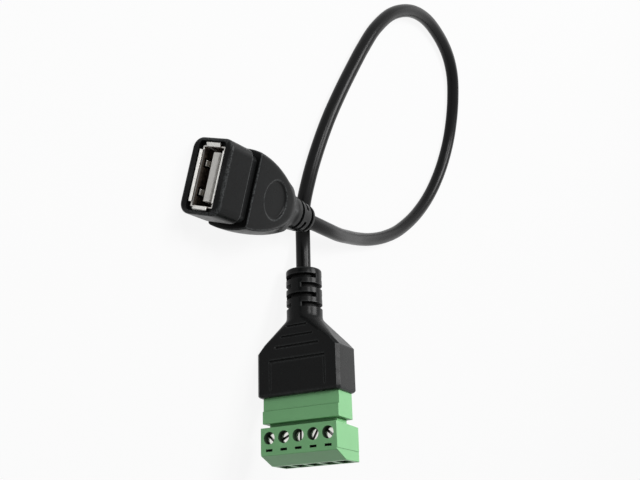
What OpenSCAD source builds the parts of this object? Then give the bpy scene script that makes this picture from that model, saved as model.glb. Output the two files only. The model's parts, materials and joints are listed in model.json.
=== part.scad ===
// USB-A socket on a short lead that ends in a pluggable screw terminal.
// The lead lies on a table: Z is up, the socket's mouth faces -Y,
// and the origin is on the table, under the middle of the socket's front block.

/* [Socket moulding] */
// Width of the front block
socket_w = 16.4; // [15:0.1:17]
// Thickness of the moulding
socket_t = 10.4; // [9.8:0.1:12]
// Length of the front block
front_l = 7.8; // [5:0.1:9]
// Corner radius of the front block
front_r = 1.8; // [0.5:0.1:2]
// Bevel around the front face
front_bevel = 0.4; // [0.2:0.05:0.5]
// Width of the groove behind the front block
groove_w = 2.6; // [1:0.1:4]
// Depth of that groove
groove_depth = 0.9; // [0.3:0.1:1.1]
// Width of the shield-shaped rear half
shield_w = 18.2; // [17:0.1:20]
// Length of the rear half
shield_l = 20.6; // [18:0.1:26]
// How far its broad faces draw in from its edge
shield_crown = 0.8; // [0.4:0.1:1.2]
// Height of the straight band around its edge
shield_band = 5; // [3:0.1:6]
// Length of its flat broad face
shield_flat_l = 17.2; // [14:0.1:18]
// Diameter of the dished round field
field_d = 8.4; // [5:0.1:9]
// Depth of that field
field_depth = 0.45; // [0.2:0.05:0.8]

/* [Strain reliefs] */
// Diameter of the socket's strain relief at its root
socket_relief_d1 = 8.4; // [7.5:0.1:9]
// Diameter at its end
socket_relief_d2 = 6.8; // [6.4:0.1:7.4]
// Diameter of the terminal's strain relief
relief_d = 8.7; // [7.6:0.1:8.8]
// Length of the socket's strain relief
socket_relief_l = 8.4; // [8.2:0.1:12]
// Length of the terminal's strain relief
terminal_relief_l = 12.6; // [11.5:0.1:14]
// Width of a flexing slot
slot_w = 1.1; // [0.6:0.1:1.4]
// Depth of a flexing slot
slot_depth = 1.2; // [0.5:0.05:1.2]
// Width of the webs between two slots of a row
slot_web = 2.8; // [2:0.1:4]
// Spacing of the slots
slot_pitch = 2.4; // [1.8:0.1:2.6]

/* [USB socket] */
// Width of the opening in the metal shell
mouth_w = 12.5; // [12.3:0.05:12.7]
// Height of that opening
mouth_h = 5.12; // [5:0.02:5.3]
// Thickness of the shell's sheet
shell_sheet = 0.3; // [0.2:0.05:0.4]
// Length of the shell
shell_l = 14; // [12:0.1:16]
// Reach of its flared lips on the broad sides
lip_reach = 0.45; // [0.35:0.05:0.6]
// Reach of those on the narrow sides
tab_reach = 0.75; // [0.5:0.05:0.8]
// Length of the lips on the broad sides
lip_long = 11.1; // [8:0.1:11.4]
// Length of the lips on the narrow sides
lip_short = 3.5; // [2:0.1:4]
// Width of the tongue
tongue_w = 10.4; // [10:0.1:11.4]
// Thickness of the tongue
tongue_t = 2.1; // [1.6:0.05:2.2]
// Gap above the tongue
tongue_gap = 0.5; // [0.35:0.05:0.8]
// How far the tongue stands back from the mouth
tongue_setback = 0.6; // [0.5:0.1:2]
// Width of a contact strip
strip_w = 1; // [0.7:0.05:1.2]
// Thickness of a contact strip
strip_t = 0.3; // [0.2:0.05:0.4]

/* [Cord] */
// Diameter of the cord
cord_d = 3.6; // [3.2:0.1:3.8]
// Diameter of one insulated core
core_d = 1; // [0.7:0.05:1.1]
// Diameter of the drain wire
drain_d = 0.5; // [0.3:0.05:0.5]

/* [Terminal plug] */
// Spacing of the poles
pole_pitch = 3.81; // [3.7:0.01:4]
// Wall of the plug outside the end poles
end_wall = 0.375; // [0.3:0.025:0.6]
// Depth of the plug from the screw face to its back
plug_depth = 11.1; // [11:0.1:12]
// Screw row to the shoulder at the screw face
shoulder_front = 2.4; // [2.2:0.1:2.8]
// Screw row to the shoulder at the back
shoulder_back = 2; // [1.9:0.1:2.8]
// Screw row to the lower edge of the screw face
face_drop = 4; // [3.6:0.1:5]
// Screw row to the wire entry face
entry_drop = 5.85; // [5.2:0.05:7]
// Where the bevel under the screw face meets the wire entry face
bevel_depth = 4.7; // [3:0.1:5.5]
// Step on the plug's ends beside the wire entries
end_step = 0.12; // [0.05:0.01:0.2]
// Width of a wire entry
entry_w = 2.9; // [2.4:0.05:3]
// Width of the test slot under each screw
dash_w = 1.75; // [1:0.05:2.4]
// Height of the test slot
dash_h = 0.6; // [0.3:0.05:1]
// Depth of the test slot
dash_depth = 1.5; // [0.5:0.1:2]

/* [Clamps] */
// Diameter of a screw hole
screw_hole_d = 2.9; // [2.8:0.05:3]
// Diameter of a screw's head
head_d = 2.5; // [2.2:0.05:2.6]
// Height of a screw's head
head_h = 1; // [0.8:0.05:1.1]
// Depth of the head below the screw face
head_recess = 1.3; // [0.9:0.05:1.4]
// Diameter of a screw's shank
shank_d = 2; // [1.6:0.05:2.1]
// Web under the screw's head
web_t = 0.58; // [0.5:0.02:0.6]
// Travel of a clamp cage
cage_travel = 2.2; // [1.6:0.1:2.2]
// Width of a cage across the poles
cage_w = 2.9; // [2.7:0.05:3]
// Length of a cage along the wire
cage_l = 2.8; // [2.5:0.05:2.8]
// Height of a cage
cage_h = 5; // [4.4:0.05:5]
// Thickness of a cage's sides
cage_side = 0.4; // [0.3:0.02:0.4]
// Thickness of a cage's top and floor
cage_top = 0.7; // [0.5:0.05:0.8]
// Width of a contact
contact_w = 2; // [1.6:0.05:2]
// Thickness of a contact's bar
bar_t = 0.65; // [0.4:0.05:0.8]
// Thickness of a contact's spring leaves
leaf_t = 0.4; // [0.3:0.02:0.5]

/* [Header] */
// Width of the header over the plug's width
header_extra_w = 0.1; // [0:0.05:0.4]
// Depth of the header from front to back
header_depth = 6.75; // [6.6:0.05:7]
// Step of the header behind the screw face
header_setback = 1.5; // [1.3:0.05:1.6]
// Height of the proud ledge on the header's front
ledge_h = 0.4; // [0.1:0.05:0.6]
// Length of that ledge
ledge_l = 3; // [1:0.1:5]
// Gap between the plug's shoulder and the header's mouth
mouth_gap = 1.05; // [0.6:0.05:1.6]
// Length of the header from its mouth to its back
header_l = 8.75; // [8.2:0.05:10]
// Wall at the header's front and back
header_wall = 0.85; // [0.7:0.05:0.9]
// Wall at the header's ends
header_end_wall = 1; // [0.8:0.05:1.2]
// Thickness of the header's floor
header_floor = 1.3; // [1:0.05:2]
// Width of a square header pin
pin_w = 1; // [0.8:0.02:1.1]
// Length of a pin inside the header
pin_reach = 5.9; // [4:0.1:6.2]
// Length of a pin behind the header
pin_tail = 3; // [2:0.1:3.5]

/* [Terminal moulding] */
// Wall of the moulding outside the header's ends
hood_side = 0.95; // [0.8:0.05:1.5]
// Thickness of the moulding
hood_t = 9.1; // [9:0.1:10]
// Length of the header that the moulding leaves bare
header_bare = 6.05; // [5:0.05:7]
// Length of the moulding's straight part
hood_straight = 10.5; // [9:0.1:13]
// Length of its taper
hood_taper = 7.6; // [6.5:0.1:10]
// Bevel along its edges
hood_bevel = 0.5; // [0.3:0.1:1]
// Wall of the moulding around the wires
hood_wall = 2; // [1.8:0.1:2.1]
// Width of the grooved frame on its front
frame_w = 14.4; // [10:0.1:16]
// Length of the longest of the three lines above the frame
line_longest = 11.5; // [8:0.1:12]
// Width of the grooved lines
line_w = 0.35; // [0.2:0.05:0.6]
// Depth of those lines
line_depth = 0.3; // [0.1:0.05:0.5]

/* [Rest] */
// Turn of the terminal end on the table
terminal_yaw = 5; // [0:1:15]
// Rise of the terminal end towards its plug
terminal_rise = 18; // [16:0.5:20]

/* [Hidden] */
$fn = 48;
eps = 0.02;
through = 1;
// Gap around pieces that are moulded or pressed in
fit = 0.04;
// Gap around pieces that slide or turn
slide_fit = 0.1;
turn_fit = 0.05;

// Socket end, in its own frame: y back from its mouth
mouth_y = -4;
socket_mid = socket_t / 2;
shield_y = front_l + groove_w;
socket_relief_y = shield_y + shield_l;
socket_exit_y = socket_relief_y + socket_relief_l;
shell_w = mouth_w + 2 * shell_sheet;
shell_h = mouth_h + 2 * shell_sheet;
recess_gap = 0.12;
lip_end = shell_sheet + 2 * lip_reach;
tongue_nose = 0.4;
tongue_top = socket_mid + mouth_h / 2 - tongue_gap;
tongue_low = tongue_top - tongue_t;
insulator_l = 4.5;
insulator_y = shell_l - insulator_l;
strip_places = [3.5, 1, -1, -3.5];
strip_setback = 0.8;
strip_tail = 3;
strip_z = tongue_low + strip_t / 2;
chamber_w = 9.4;
chamber_h = 6;
chamber_l = 13;
chamber_end = shell_l + chamber_l;
socket_slot_rows = 3;
socket_slot_first = 1.9;
spring_x = 3.1;
spring_w = 1.3;
spring_l = 5;
spring_y = 2;
spring_bend = 0.7;
spring_tip = 0.8;
spring_margin = 0.3;

// Terminal end, in its own frame: x across the poles, y towards the cord,
// z out of the screw face, origin in the middle of the screw row
poles = 5;
plug_w = poles * pole_pitch + 2 * end_wall;
header_w = plug_w + header_extra_w;
hood_w = header_w + 2 * hood_side;
header_y = shoulder_front + mouth_gap;
header_back_y = header_y + header_l;
hood_y = header_y + header_bare;
taper_y = hood_y + hood_straight;
neck_y = taper_y + hood_taper;
terminal_exit_y = neck_y + terminal_relief_l;
hood_mid = -hood_t / 2;
header_back_z = -header_setback - header_depth;
pin_z = -header_setback - header_depth / 2;
cavity_depth = header_l - header_floor;
cavity_w = header_w - 2 * header_end_wall;
cavity_t = header_depth - 2 * header_wall;
insert_w = cavity_w - 2 * slide_fit;
insert_t = cavity_t - 2 * slide_fit;
insert_gap = 0.3;
insert_end = header_y + cavity_depth - insert_gap;
pin_tail_y = header_back_y + pin_tail;
pin_point = 0.6;
key_w = 0.8;
key_depth = 0.5;
dash_rise = 0.9;
dash_y = dash_rise - face_drop;
step_rise = 0.5;
step_y = step_rise - face_drop;
terminal_slot_rows = 4;
terminal_slot_last = 2.2;
line_count = 3;
line_spacing = 2.4;
line_shorter = 3.1;
line_rise = 0.95;
line_y = taper_y + line_rise;
frame_drop = 2.2;
frame_top_y = taper_y - frame_drop;
frame_foot = 1.6;
frame_low_y = hood_y + frame_foot;
chamber_setback = 1;
wire_chamber_y = neck_y - chamber_setback;
bore_lead = 2;
cord_bore_y = neck_y - bore_lead;
terminal_cord_in = 12.1;

// Clamp heights, measured back from the screw face
head_top_z = -head_recess;
head_low_z = head_top_z - head_h;
web_top_z = head_low_z - eps;
cell_top_z = web_top_z - web_t;
cage_top_z = cell_top_z - slide_fit - cage_travel;
cage_low_z = cage_top_z - cage_h;
cell_low_z = cage_low_z - slide_fit;
bar_top_z = cage_top_z - cage_top - turn_fit;
bar_low_z = bar_top_z - bar_t;
shank_low_z = bar_top_z + turn_fit;
cell_w = cage_w + 2 * turn_fit;
cell_l = cage_l + 2 * slide_fit;
entry_lead = 0.2;
entry_top_z = bar_top_z + entry_lead;
leaf_gap = pin_w / 2 + turn_fit;
leaf_setback = 0.9;
leaf_tip = insert_end - leaf_setback;
fork_setback = 0.7;
fork_y = cell_l / 2 + fork_setback;
fork_wall = 0.5;
drive_w = 0.5;
drive_depth = 0.6;
slot_turns = [-45, 25, 88, 60, -40];

// Where the cord leaves the terminal end, so that it rests on the table
drop_at_neck = relief_d / 2 * cos(terminal_rise);
drop_at_hood = hood_w / 2 * cos(terminal_rise) - (terminal_exit_y - taper_y) * sin(terminal_rise);
terminal_exit = [11.9, 42.1, max(drop_at_neck, drop_at_hood)];

// Route of the cord, from inside the terminal's strain relief to the socket's
cord_route = [
    [23.3, 41.1, 7.8], [17.6, 41.6, 6], [11.9, 42.1, 4.1], [6, 42.3, 2.4], [1, 41.1, 1.8],
    [-4, 39.4, 1.8], [-10, 39.3, 1.8], [-16, 39.9, 1.8], [-23, 41.3, 1.8], [-29, 43, 1.8],
    [-36, 45.6, 1.8], [-43, 48.6, 1.8], [-50, 51.9, 1.8], [-57, 56.1, 1.8], [-64, 63, 1.8],
    [-69, 72.5, 1.8], [-71, 82.5, 1.8], [-70.2, 92.5, 1.8], [-67.5, 101.5, 1.8], [-63, 107.8, 1.8],
    [-57, 111.5, 1.8], [-50, 113.7, 1.8], [-42, 114.3, 1.8], [-33, 112.6, 1.8], [-24, 108.3, 1.8],
    [-16, 101.5, 1.8], [-9.5, 92.8, 1.8], [-5.6, 84.5, 1.8], [-3.1, 76.2, 1.9], [-1.6, 68, 2.5],
    [-0.6, 60, 3.9], [0.1, 53.5, 5.1], [0.3, 47, 5.9], [0.2, 41, 5.8], [0, 35.4, 5.2],
    [0, 31.2, 5.2], [0, 27, 5.2]
];
cord_end_y = cord_route[len(cord_route) - 1][1] - mouth_y;
cord_bore = cord_d + 2 * slide_fit;
tube_sides = 8;
wire_stub = 0.8;
wire_steps = 8;
core_ring = core_d / 2 + turn_fit;
drain_ring = (cord_d - drain_d) / 2 - turn_fit;
core_places = [[1, 1], [1, -1], [-1, 1], [-1, -1]];
core_colours = ["#b3261e", "#e8e6df", "#2f7d3a", "#161616"];

// Colours
black_pvc = "#1b1b1d";
terminal_green = "#4f9a5f";
nickel = "#c9c7c0";
brass = "#c2a35a";
tongue_grey = "#c9c8c4";

// Shared shapes

module rounded_rect(w, h, r) {
    square([w - 2 * r, h], center = true);
    square([w, h - 2 * r], center = true);
    for (sx = [-1, 1], sy = [-1, 1])
        translate([sx * (w / 2 - r), sy * (h / 2 - r)])
            circle(r);
}

// A rounded bar on the socket's axis, from y0 to y1
module socket_bar(w, h, y0, y1, r) {
    translate([0, y1, socket_mid])
        rotate([90, 0, 0])
            linear_extrude(y1 - y0)
                rounded_rect(w, h, r);
}

// A box given by its two corners
module box(low, high) {
    translate(low)
        cube(high - low);
}

// A profile in y and z, as wide as w across x
module across_x(w) {
    translate([-w / 2, 0, 0])
        rotate([90, 0, 90])
            linear_extrude(w)
                children();
}

// A tube with flat sides swept along a list of points
function unit(v) = v / norm(v);
function heading(path, i) = unit(path[min(i + 1, len(path) - 1)] - path[max(i - 1, 0)]);
function ring_point(path, d, i, turn) = let (
    ahead = heading(path, i),
    aside = unit(cross([0, 0, 1], ahead)),
    above = cross(ahead, aside))
    path[i] + d / 2 * (cos(turn) * aside + sin(turn) * above);

module tube(path, d) {
    rings = len(path);
    last = (rings - 1) * tube_sides;
    polyhedron(
        points = [for (i = [0 : rings - 1], k = [0 : tube_sides - 1])
            ring_point(path, d, i, k * 360 / tube_sides)],
        faces = concat(
            [[for (k = [0 : tube_sides - 1]) k]],
            [[for (k = [tube_sides - 1 : -1 : 0]) last + k]],
            [for (i = [0 : rings - 2], k = [0 : tube_sides - 1])
                let (a = i * tube_sides + k, b = i * tube_sides + (k + 1) % tube_sides)
                [a, a + tube_sides, b + tube_sides, b]]
        )
    );
}

// A core's path along -Y from a to b: straight at both ends, an easy S between them
function core_path(a, b) = let (
    stub = [0, wire_stub, 0],
    from = a - stub,
    to = b + stub)
    concat([a], [for (i = [0 : wire_steps])
        let (t = i / wire_steps, s = t * t * (3 - 2 * t))
        [from[0] + (to[0] - from[0]) * s, from[1] + (to[1] - from[1]) * t, from[2] + (to[2] - from[2]) * s]
    ], [b]);

// The socket end's own frame
module socket_place() {
    translate([0, mouth_y, 0])
        children();
}

// The terminal end's own frame, placed where it rests on the table
module terminal_place() {
    translate(terminal_exit)
        rotate([0, -terminal_rise, -terminal_yaw])
            rotate([90, 0, 0])
                rotate([0, 0, 90])
                    translate([0, -terminal_exit_y, -hood_mid])
                        children();
}

function pole_x(i) = (i - (poles + 1) / 2) * pole_pitch;

// Socket end

// Half width of the rear half's edge, s behind its front: an arc that meets the strain relief
shield_drop = (shield_w - socket_relief_d1) / 2;
shield_steps = 18;
flat_fall = 1.8;
flat_point = 0.6;
shield_arc = (shield_l ^ 2 + shield_drop ^ 2) / (2 * shield_drop);
function shield_half(s) = shield_w / 2 - shield_arc + sqrt(shield_arc ^ 2 - s ^ 2);

// Half width of its flat broad face, which ends in a rounded point
function flat_half(s) = (shield_w / 2 - shield_crown) * (1 - (s / shield_flat_l) ^ flat_fall) ^ flat_point;

module shield_outline(length, is_flat) {
    steps = shield_steps;
    stations = [for (i = [0 : steps]) i * length / steps];
    halves = [for (s = stations) is_flat ? flat_half(s) : shield_half(s)];
    polygon(concat(
        [for (i = [0 : steps]) [halves[i], stations[i]]],
        [for (i = [steps : -1 : 0]) [-halves[i], stations[i]]]
    ));
}

module shield_body() {
    hull() {
        translate([0, shield_y, socket_mid - shield_band / 2])
            linear_extrude(shield_band)
                shield_outline(shield_l, false);
        translate([0, shield_y, 0])
            linear_extrude(socket_t)
                shield_outline(shield_flat_l - eps, true);
    }
}

// Rows of flexing slots around the y axis; two webs part each row, and turn by a quarter from row to row
module flexing_slots(rows, reach, radius_at) {
    for (i = [0 : rows - 1])
        translate([0, i * slot_pitch - slot_w / 2, 0])
            rotate([0, 90 * (i % 2), 0])
                difference() {
                    rotate([-90, 0, 0])
                        difference() {
                            cylinder(h = slot_w, r = reach);
                            translate([0, 0, -eps])
                                cylinder(h = slot_w + 2 * eps, r = radius_at(i) - slot_depth);
                        }
                    box([-slot_web / 2, -eps, -2 * reach], [slot_web / 2, slot_w + eps, 2 * reach]);
                }
}

module socket_relief() {
    taper = (socket_relief_d1 - socket_relief_d2) / 2 / socket_relief_l;
    slope_radius = function(i) socket_relief_d1 / 2 - taper * (socket_slot_first + i * slot_pitch);
    translate([0, socket_relief_y, socket_mid])
        difference() {
            translate([0, -through, 0])
                rotate([-90, 0, 0]) {
                    cylinder(h = through + eps, d = socket_relief_d1);
                    translate([0, 0, through])
                        cylinder(h = socket_relief_l, d1 = socket_relief_d1, d2 = socket_relief_d2);
                }
            translate([0, socket_slot_first, 0])
                rotate([0, 90, 0])
                    flexing_slots(socket_slot_rows, socket_relief_d1, slope_radius);
        }
}

module front_block() {
    inner = 2 * front_bevel;
    hull() {
        socket_bar(socket_w - inner, socket_t - inner, 0, eps, front_r - front_bevel / 2);
        socket_bar(socket_w, socket_t, front_bevel, front_l, front_r);
    }
}

module socket_overmould() {
    recess_w = shell_w + 2 * (tab_reach + recess_gap);
    recess_h = shell_h + 2 * (lip_reach + recess_gap);
    recess_depth = lip_reach + shell_sheet + recess_gap;
    color(black_pvc)
        socket_place()
            difference() {
                union() {
                    front_block();
                    socket_bar(socket_w - 2 * groove_depth, socket_t - 2 * groove_depth,
                        front_l - through, shield_y + through, front_r - groove_depth / 2);
                    shield_body();
                    socket_relief();
                }
                socket_bar(recess_w, recess_h, -through, recess_depth, front_r / 2);
                socket_bar(shell_w + 2 * fit, shell_h + 2 * fit, -through, shell_l + fit, shell_sheet + fit);
                socket_bar(chamber_w, chamber_h, shell_l, chamber_end, front_r);
                translate([0, chamber_end - through, socket_mid])
                    rotate([-90, 0, 0])
                        cylinder(h = socket_exit_y - chamber_end + 2 * through, d = cord_bore);
                translate([0, shield_y + shield_flat_l / 2, socket_t - field_depth])
                    cylinder(h = field_depth + through, d = field_d);
            }
}

// One flared lip, bent outwards at the mouth; y along the socket, z outwards
module flared_lip(l, reach) {
    across_x(l)
        polygon([
            [shell_sheet + lip_reach, 0], [shell_sheet, reach], [0, reach - shell_sheet],
            [lip_reach, -shell_sheet], [lip_end, -shell_sheet], [lip_end, 0]
        ]);
}

// A spring tongue cut from the shell's wall and bent inwards; z outwards
module shell_spring() {
    across_x(spring_w)
        polygon([
            [spring_y + spring_l, 0], [spring_y + spring_l, -shell_sheet],
            [spring_y + spring_tip, -shell_sheet - spring_bend], [spring_y, -spring_bend],
            [spring_y, shell_sheet - spring_bend], [spring_y + spring_tip, -spring_bend + eps]
        ]);
}

module spring_window() {
    half = spring_w / 2 + spring_margin;
    box([-half, spring_y - spring_margin, -shell_sheet - through],
        [half, spring_y + spring_l - eps, through]);
}

// On the outside of one of the shell's walls, turned from the top one
module on_wall(side, reach) {
    translate([0, 0, socket_mid])
        rotate([0, side, 0])
            translate([0, 0, reach])
                children();
}

// At each spring of the shell's low wall
module at_springs() {
    for (x = [-spring_x, spring_x])
        on_wall(180, shell_h / 2)
            translate([x, 0, 0])
                children();
}

module socket_shell() {
    color(nickel)
        socket_place() {
            difference() {
                socket_bar(shell_w, shell_h, lip_end - through / 2, shell_l, shell_sheet);
                socket_bar(mouth_w, mouth_h, -through, shell_l + through, shell_sheet / 4);
                at_springs()
                    spring_window();
            }
            at_springs()
                shell_spring();
            for (side = [0, 180])
                on_wall(side, shell_h / 2)
                    flared_lip(lip_long, lip_reach);
            for (side = [90, -90])
                on_wall(side, shell_w / 2)
                    flared_lip(lip_short, tab_reach);
        }
}

module strip_solid(i, gap) {
    half = strip_w / 2 + gap;
    x = strip_places[i - 1];
    box([x - half, tongue_setback + strip_setback - gap, tongue_low - gap],
        [x + half, shell_l + strip_tail, tongue_low + strip_t + gap]);
}

module socket_insulator() {
    root_y = insulator_y + through;
    color(tongue_grey)
        socket_place()
            difference() {
                union() {
                    socket_bar(mouth_w - 2 * fit, mouth_h - 2 * fit, insulator_y, shell_l, shell_sheet);
                    translate([0, 0, tongue_top])
                        across_x(tongue_w)
                            polygon([
                                [root_y, 0], [tongue_setback + tongue_nose, 0],
                                [tongue_setback, -tongue_nose], [tongue_setback, tongue_nose - tongue_t],
                                [tongue_setback + tongue_nose, -tongue_t], [root_y, -tongue_t]
                            ]);
                }
                for (i = [1 : 4])
                    strip_solid(i, turn_fit);
            }
}

module socket_contact(i) {
    color(brass)
        socket_place()
            strip_solid(i, 0);
}

// Cores of the cord, fanned out to the contacts' tails
module socket_core(i) {
    place = core_places[i - 1] * core_ring;
    start = [place[0], cord_end_y, socket_mid + place[1]];
    color(core_colours[i - 1])
        socket_place()
            tube(core_path(start, [strip_places[i - 1], shell_l + strip_tail, strip_z]), core_d);
}

// The drain wire runs to the top wall of the shell
module socket_drain() {
    start = [0, cord_end_y, socket_mid + drain_ring];
    color(nickel)
        socket_place()
            tube(core_path(start, [0, shell_l, socket_mid + (shell_h - drain_d) / 2]), drain_d);
}

// Cord

module cord() {
    color(black_pvc)
        tube(cord_route, cord_d);
}

// Terminal end

module hood_block(inset) {
    half = hood_w / 2 - inset;
    cut = hood_bevel - inset;
    box([-half, hood_y + inset, cut - hood_t], [half, taper_y - inset / 2, -cut]);
}

// The block draws in to the strain relief's round
module hood_body() {
    hull() {
        hood_block(0);
        hood_block(hood_bevel);
        translate([0, neck_y, hood_mid])
            rotate([-90, 0, 0])
                cylinder(h = eps, d = relief_d);
    }
}

module terminal_relief() {
    first_slot = terminal_relief_l - terminal_slot_last - (terminal_slot_rows - 1) * slot_pitch;
    even_radius = function(i) relief_d / 2;
    translate([0, neck_y, hood_mid])
        difference() {
            translate([0, -through, 0])
                rotate([-90, 0, 0])
                    cylinder(h = terminal_relief_l + through, d = relief_d);
            translate([0, first_slot, 0])
                flexing_slots(terminal_slot_rows, relief_d, even_radius);
        }
}

// A grooved line across the moulding's front
module front_line(y, l) {
    box([-l / 2, y - line_w / 2, -line_depth], [l / 2, y + line_w / 2, through]);
}

module front_lines() {
    for (i = [0 : line_count - 1])
        front_line(line_y + i * line_spacing, line_longest - i * line_shorter);
    front_line(frame_top_y, frame_w);
    for (x = [-frame_w / 2, frame_w / 2])
        box([x - line_w / 2, frame_low_y, -line_depth], [x + line_w / 2, frame_top_y, through]);
}

module wire_chamber() {
    half = hood_w / 2 - hood_wall;
    neck = relief_d / 2 - hood_wall;
    start_y = header_back_y - through;
    corner_y = taper_y - hood_wall / 2;
    translate([0, 0, hood_wall - hood_t])
        linear_extrude(hood_t - 2 * hood_wall)
            polygon([
                [half, start_y], [half, corner_y], [neck, wire_chamber_y],
                [-neck, wire_chamber_y], [-half, corner_y], [-half, start_y]
            ]);
}

module terminal_overmould() {
    pocket_w = header_w / 2 + fit;
    color(black_pvc)
        terminal_place()
            difference() {
                union() {
                    hood_body();
                    terminal_relief();
                }
                box([-pocket_w, hood_y - through, header_back_z - fit],
                    [pocket_w, header_back_y + fit, fit - header_setback]);
                wire_chamber();
                translate([0, cord_bore_y, hood_mid])
                    rotate([-90, 0, 0])
                        cylinder(h = terminal_exit_y - cord_bore_y + through, d = cord_bore);
                front_lines();
            }
}

module header_housing() {
    half = header_w / 2;
    hole = pin_w / 2 + fit / 2;
    color(terminal_green)
        terminal_place()
            difference() {
                union() {
                    box([-half, header_y, header_back_z], [half, header_back_y, -header_setback]);
                    box([-half, header_y, header_back_z], [half, header_y + ledge_l, ledge_h - header_setback]);
                }
                box([-cavity_w / 2, header_y - through, pin_z - cavity_t / 2],
                    [cavity_w / 2, header_y + cavity_depth, pin_z + cavity_t / 2]);
                for (i = [1 : poles])
                    box([pole_x(i) - hole, header_y, pin_z - hole],
                        [pole_x(i) + hole, header_back_y + through, pin_z + hole]);
            }
}

module header_pin(i) {
    half = pin_w / 2;
    tip_y = header_y + cavity_depth - pin_reach;
    root_y = tip_y + pin_point;
    color(nickel)
        terminal_place()
            translate([pole_x(i), 0, pin_z]) {
                box([-half, root_y, -half], [half, pin_tail_y, half]);
                hull() {
                    box([-half, root_y, -half], [half, root_y + eps, half]);
                    box([-half / 2, tip_y, -half / 2], [half / 2, tip_y + eps, half / 2]);
                }
            }
}

// Cores of the cord, fanned out to the header's pins
module terminal_wire(place, pole, d) {
    start = [place[0], terminal_exit_y - terminal_cord_in, hood_mid + place[1]];
    terminal_place()
        tube(core_path(start, [pole_x(pole), pin_tail_y, pin_z]), d);
}

module terminal_core(i) {
    place = core_places[i - 1] * core_ring;
    color(core_colours[i - 1])
        terminal_wire([-place[0], place[1]], i, core_d);
}

module terminal_drain() {
    color(nickel)
        terminal_wire([drain_ring, 0], poles, drain_d);
}

module plug_cell() {
    translate([0, 0, web_top_z])
        cylinder(h = through - web_top_z, d = screw_hole_d);
    translate([0, 0, cell_top_z - eps])
        cylinder(h = web_t + 2 * eps, d = shank_d + 2 * turn_fit);
    box([-cell_w / 2, -cell_l / 2, cell_low_z], [cell_w / 2, cell_l / 2, cell_top_z]);
    box([-entry_w / 2, -entry_drop - through, cell_low_z], [entry_w / 2, 0, entry_top_z]);
    box([-contact_w / 2 - turn_fit, 0, bar_low_z - turn_fit],
        [contact_w / 2 + turn_fit, insert_end + through, pin_z + leaf_gap + leaf_t + turn_fit]);
    box([-dash_w / 2, dash_y, -dash_depth], [dash_w / 2, dash_y + dash_h, through]);
}

module plug_housing() {
    insert_top = pin_z + insert_t / 2;
    color(terminal_green)
        terminal_place()
            difference() {
                union() {
                    across_x(plug_w)
                        polygon([
                            [shoulder_front, 0], [-face_drop, 0], [-entry_drop, -bevel_depth],
                            [-entry_drop, -plug_depth], [shoulder_back, -plug_depth]
                        ]);
                    box([-insert_w / 2, 0, pin_z - insert_t / 2], [insert_w / 2, insert_end, insert_top]);
                }
                for (i = [1 : poles])
                    translate([pole_x(i), 0, 0])
                        plug_cell();
                for (x = [-plug_w / 2, plug_w / 2])
                    box([x - end_step, -entry_drop - through, -plug_depth - through],
                        [x + end_step, step_y, through]);
                for (i = [1 : poles - 1])
                    box([pole_x(i + 0.5) - key_w / 2, header_y, insert_top - key_depth],
                        [pole_x(i + 0.5) + key_w / 2, insert_end + through, insert_top + through]);
            }
}

// A bar under the cage's top that ends in a fork around the header's pin
module plug_contact(i) {
    low = pin_z - leaf_gap;
    high = pin_z + leaf_gap;
    bar_end = -cage_l / 2 - slide_fit / 2;
    fork_end = fork_y + fork_wall;
    color(nickel)
        terminal_place()
            translate([pole_x(i), 0, 0])
                across_x(contact_w)
                    polygon([
                        [bar_end, bar_low_z], [fork_end, bar_low_z], [fork_end, low - leaf_t],
                        [leaf_tip, low - leaf_t], [leaf_tip, low], [fork_end, low],
                        [fork_end, high], [leaf_tip, high], [leaf_tip, high + leaf_t],
                        [fork_y, high + leaf_t], [fork_y, bar_top_z], [bar_end, bar_top_z]
                    ]);
}

module clamp_screw(i) {
    color(nickel)
        terminal_place()
            translate([pole_x(i), 0, 0])
                difference() {
                    union() {
                        translate([0, 0, head_low_z])
                            cylinder(h = head_h, d = head_d);
                        translate([0, 0, shank_low_z])
                            cylinder(h = head_low_z - shank_low_z + eps, d = shank_d);
                    }
                    rotate([0, 0, slot_turns[i - 1]])
                        box([-head_d, -drive_w / 2, head_top_z - drive_depth],
                            [head_d, drive_w / 2, head_top_z + through]);
                }
}

module clamp_cage(i) {
    inner_w = cage_w - 2 * cage_side;
    color(brass)
        terminal_place()
            translate([pole_x(i), 0, 0])
                difference() {
                    box([-cage_w / 2, -cage_l / 2, cage_low_z], [cage_w / 2, cage_l / 2, cage_top_z]);
                    box([-inner_w / 2, -cage_l, cage_low_z + cage_top],
                        [inner_w / 2, cage_l, cage_top_z - cage_top]);
                    translate([0, 0, cage_top_z - cage_top - eps])
                        cylinder(h = cage_top + through, d = shank_d + 2 * turn_fit);
                }
}

socket_overmould();
socket_shell();
socket_insulator();
for (i = [1 : 4]) {
    socket_contact(i);
    socket_core(i);
    terminal_core(i);
}
socket_drain();
cord();
terminal_overmould();
terminal_drain();
header_housing();
plug_housing();
for (i = [1 : poles]) {
    header_pin(i);
    plug_contact(i);
    clamp_screw(i);
    clamp_cage(i);
}
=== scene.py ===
"""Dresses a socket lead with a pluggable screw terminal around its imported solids.

Lengths are in metres, in the part's own frame: Z is up from the table and the socket's mouth faces -Y.
"""

import json
import math

import bmesh
import bpy
import numpy as np
from bpy.props import FloatProperty, FloatVectorProperty, IntProperty, PointerProperty
from mathutils import Matrix, Vector

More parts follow.
